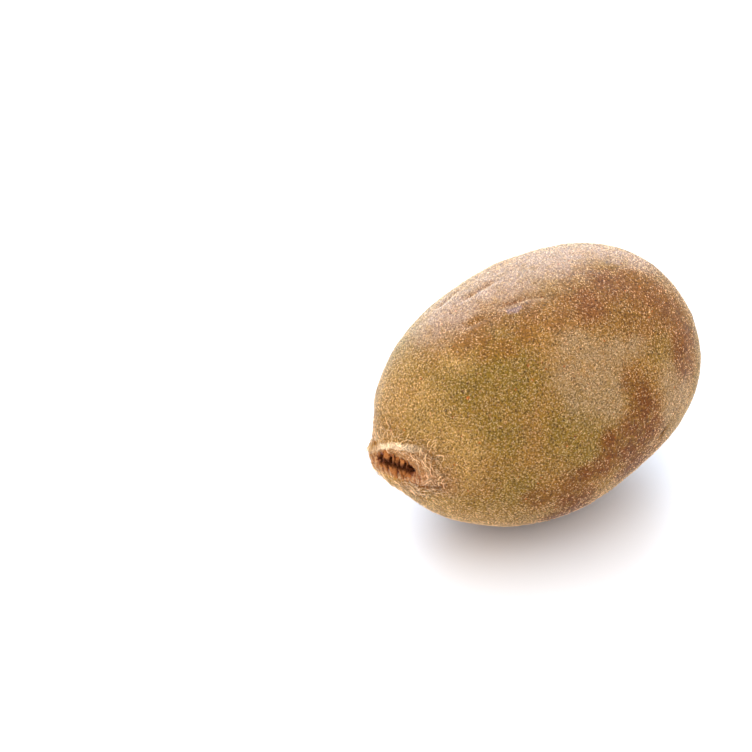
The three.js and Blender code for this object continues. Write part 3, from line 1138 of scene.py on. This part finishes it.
def stem_material(look):
    net = new_material("stem scar")
    place = net.place()
    grain = net.noise(place, 0.5, 4, 0.6)
    net.found = opaque(look.dark)
    net.paint(net.range(grain, 0.35, 0.65), look.cork)
    cracks = net.cells(place, 0.9, feature="DISTANCE_TO_EDGE")
    off = net.vector("SUBTRACT", place, STEM_MIDDLE * MM)
    spokes = net.vector("NORMALIZE", net.vector("MULTIPLY", off, (0, 1, 1)))
    spokes = net.noise(spokes, 130, 3, 0.6)
    net.paint(net.range(spokes, 0.42, 0.6, 0, 0.6), look.dark)
    middle = net.vector("DISTANCE", place, (STEM_MIDDLE + (0.9, 0, 0)) * MM)
    net.paint(net.range(middle, 1.2 * MM, 0.5 * MM, 0, 0.8), look.dark)
    height = net.math("ADD", grain, net.range(cracks, 0.0, 0.1))
    height = net.math("SUBTRACT", height, spokes)
    return finish(net, net.bump(height, 0.08 * MM), Roughness=0.85, Specular_IOR_Level=0.1)


def build_stem(look):
    stem = merged_copy("stem_button", "stem_scar")
    apply(stem, "REMESH", mode="VOXEL", voxel_size=0.09 * MM)
    apply(stem, "SMOOTH", factor=0.5, iterations=2)
    roughen(stem, "cork", 0.7, look.crack_depth)
    roughen(stem, "crumbs", 0.25, 0.5 * look.crack_depth)
    stem.data.materials.append(stem_material(look))
    finish_piece(stem, "stalk_wood", "stem_button")


# The stage

CAMERA_TURN = math.radians(-40.04)
CAMERA_HEIGHT = math.radians(36.7)
CAMERA_DISTANCE = 0.650
CAMERA_LENS, SENSOR_WIDTH = 158.63, 36
RENDER_WIDTH = 752
FOCAL_PIXELS = 3313.7
# How far right of and below the render's centre the egg's centre lies, in pixels.
AIM_RIGHT = 530.3 - RENDER_WIDTH / 2
AIM_DOWN = 388.8 - RENDER_WIDTH / 2
FLOOR_SIZE = 6


def place_camera():
    back = Vector((
        math.sin(CAMERA_TURN) * math.cos(CAMERA_HEIGHT),
        -math.cos(CAMERA_TURN) * math.cos(CAMERA_HEIGHT),
        math.sin(CAMERA_HEIGHT),
    ))
    turn = (-back).to_track_quat("-Z", "Y").to_matrix()
    turn = turn @ Matrix.Rotation(math.atan(AIM_RIGHT / FOCAL_PIXELS), 3, "Y")
    turn = turn @ Matrix.Rotation(math.atan(AIM_DOWN / FOCAL_PIXELS), 3, "X")
    bpy.ops.object.camera_add(location=Vector(EGG_CENTRE * MM) + back * CAMERA_DISTANCE)
    camera = named("camera")
    camera.rotation_euler = turn.to_euler()
    camera.data.lens = CAMERA_LENS
    camera.data.sensor_width = SENSOR_WIDTH
    camera.data.clip_start = 0.05
    bpy.context.scene.camera = camera


def add_light(name, location, size, power, tint=(1, 1, 1)):
    """A square light that faces the fruit."""
    bpy.ops.object.light_add(type="AREA", location=location)
    light = named(name)
    light.data.size = size
    light.data.energy = power
    light.data.color = tint
    aim = Vector(EGG_CENTRE * MM) - Vector(location)
    light.rotation_euler = aim.to_track_quat("-Z", "Y").to_euler()


def build_stage(look):
    bpy.ops.object.select_all(action="DESELECT")
    bpy.ops.mesh.primitive_plane_add(size=FLOOR_SIZE)
    floor = named("floor")
    net = new_material("floor")
    net.found = opaque(look.floor)
    floor.data.materials.append(finish(net, Roughness=0.7))
    place_camera()
    add_light("top light", (-0.2, 0.1, 1.0), 1.2, look.top_power)
    add_light("back light", (0.7, 0.88, 0.6), 1.0, look.back_power, (0.62, 0.8, 1.0))
    add_light("rim light", (0.6, 1.0, 0.22), 0.7, look.rim_power, (0.55, 0.74, 1.0))
    world = bpy.data.worlds.new("surroundings")
    world.use_nodes = True
    background = world.node_tree.nodes["Background"].inputs
    background["Color"].default_value = (1, 1, 1, 1)
    background["Strength"].default_value = look.world_strength
    bpy.context.scene.world = world
    bpy.context.scene.view_settings.view_transform = "Standard"


# The add-on


class OBJECT_OT_kiwi_skin(Operator):
    """Lays the patchy, folded skin over the solid fruit"""

    bl_idname = "object.kiwi_skin"
    bl_label = "Skin"

    def execute(self, context):
        build_skin(context.scene.kiwi_skin)
        return {"FINISHED"}


class OBJECT_OT_kiwi_fuzz(Operator):
    """Grows the short curled hairs on the skin"""

    bl_idname = "object.kiwi_fuzz"
    bl_label = "Fuzz"

    def execute(self, context):
        build_fuzz(context.scene.kiwi_fuzz)
        return {"FINISHED"}


class OBJECT_OT_kiwi_styles(Operator):
    """Withers the solid styles in the beak's slit"""

    bl_idname = "object.kiwi_styles"
    bl_label = "Dried styles"

    def execute(self, context):
        build_styles(context.scene.kiwi_styles)
        return {"FINISHED"}


class OBJECT_OT_kiwi_stem(Operator):
    """Roughens the solid stem button into a corky scar"""

    bl_idname = "object.kiwi_stem"
    bl_label = "Stem scar"

    def execute(self, context):
        build_stem(context.scene.kiwi_stem)
        return {"FINISHED"}


class OBJECT_OT_kiwi_stage(Operator):
    """Sets the pale floor, the soft lights and the camera"""

    bl_idname = "object.kiwi_stage"
    bl_label = "Stage"

    def execute(self, context):
        build_stage(context.scene.kiwi_stage)
        return {"FINISHED"}


OPERATORS = (
    OBJECT_OT_kiwi_skin, OBJECT_OT_kiwi_fuzz, OBJECT_OT_kiwi_styles,
    OBJECT_OT_kiwi_stem, OBJECT_OT_kiwi_stage,
)
SETTINGS = {
    "kiwi_skin": SkinSettings, "kiwi_fuzz": FuzzSettings, "kiwi_styles": StyleSettings,
    "kiwi_stem": StemSettings, "kiwi_stage": StageSettings,
}


class VIEW3D_PT_kiwi(Panel):
    """The fruit's sizes and colours, and the steps that make it"""

    bl_label = "Golden kiwi fruit"
    bl_space_type = "VIEW_3D"
    bl_region_type = "UI"
    bl_category = "Kiwi"

    def draw(self, context):
        for operator, (key, kind) in zip(OPERATORS, SETTINGS.items()):
            box = self.layout.box()
            for name in kind.__annotations__:
                box.prop(getattr(context.scene, key), name)
            box.operator(operator.bl_idname)


def register():
    for kind in (*SETTINGS.values(), *OPERATORS, VIEW3D_PT_kiwi):
        bpy.utils.register_class(kind)
    for key, kind in SETTINGS.items():
        setattr(bpy.types.Scene, key, PointerProperty(type=kind))


def unregister():
    for key in SETTINGS:
        delattr(bpy.types.Scene, key)
    for kind in reversed((*SETTINGS.values(), *OPERATORS, VIEW3D_PT_kiwi)):
        bpy.utils.unregister_class(kind)


def main():
    register()
    bpy.ops.object.kiwi_skin()
    bpy.ops.object.kiwi_fuzz()
    bpy.ops.object.kiwi_styles()
    bpy.ops.object.kiwi_stem()
    bpy.ops.object.kiwi_stage()


if __name__ == "__main__":
    main()
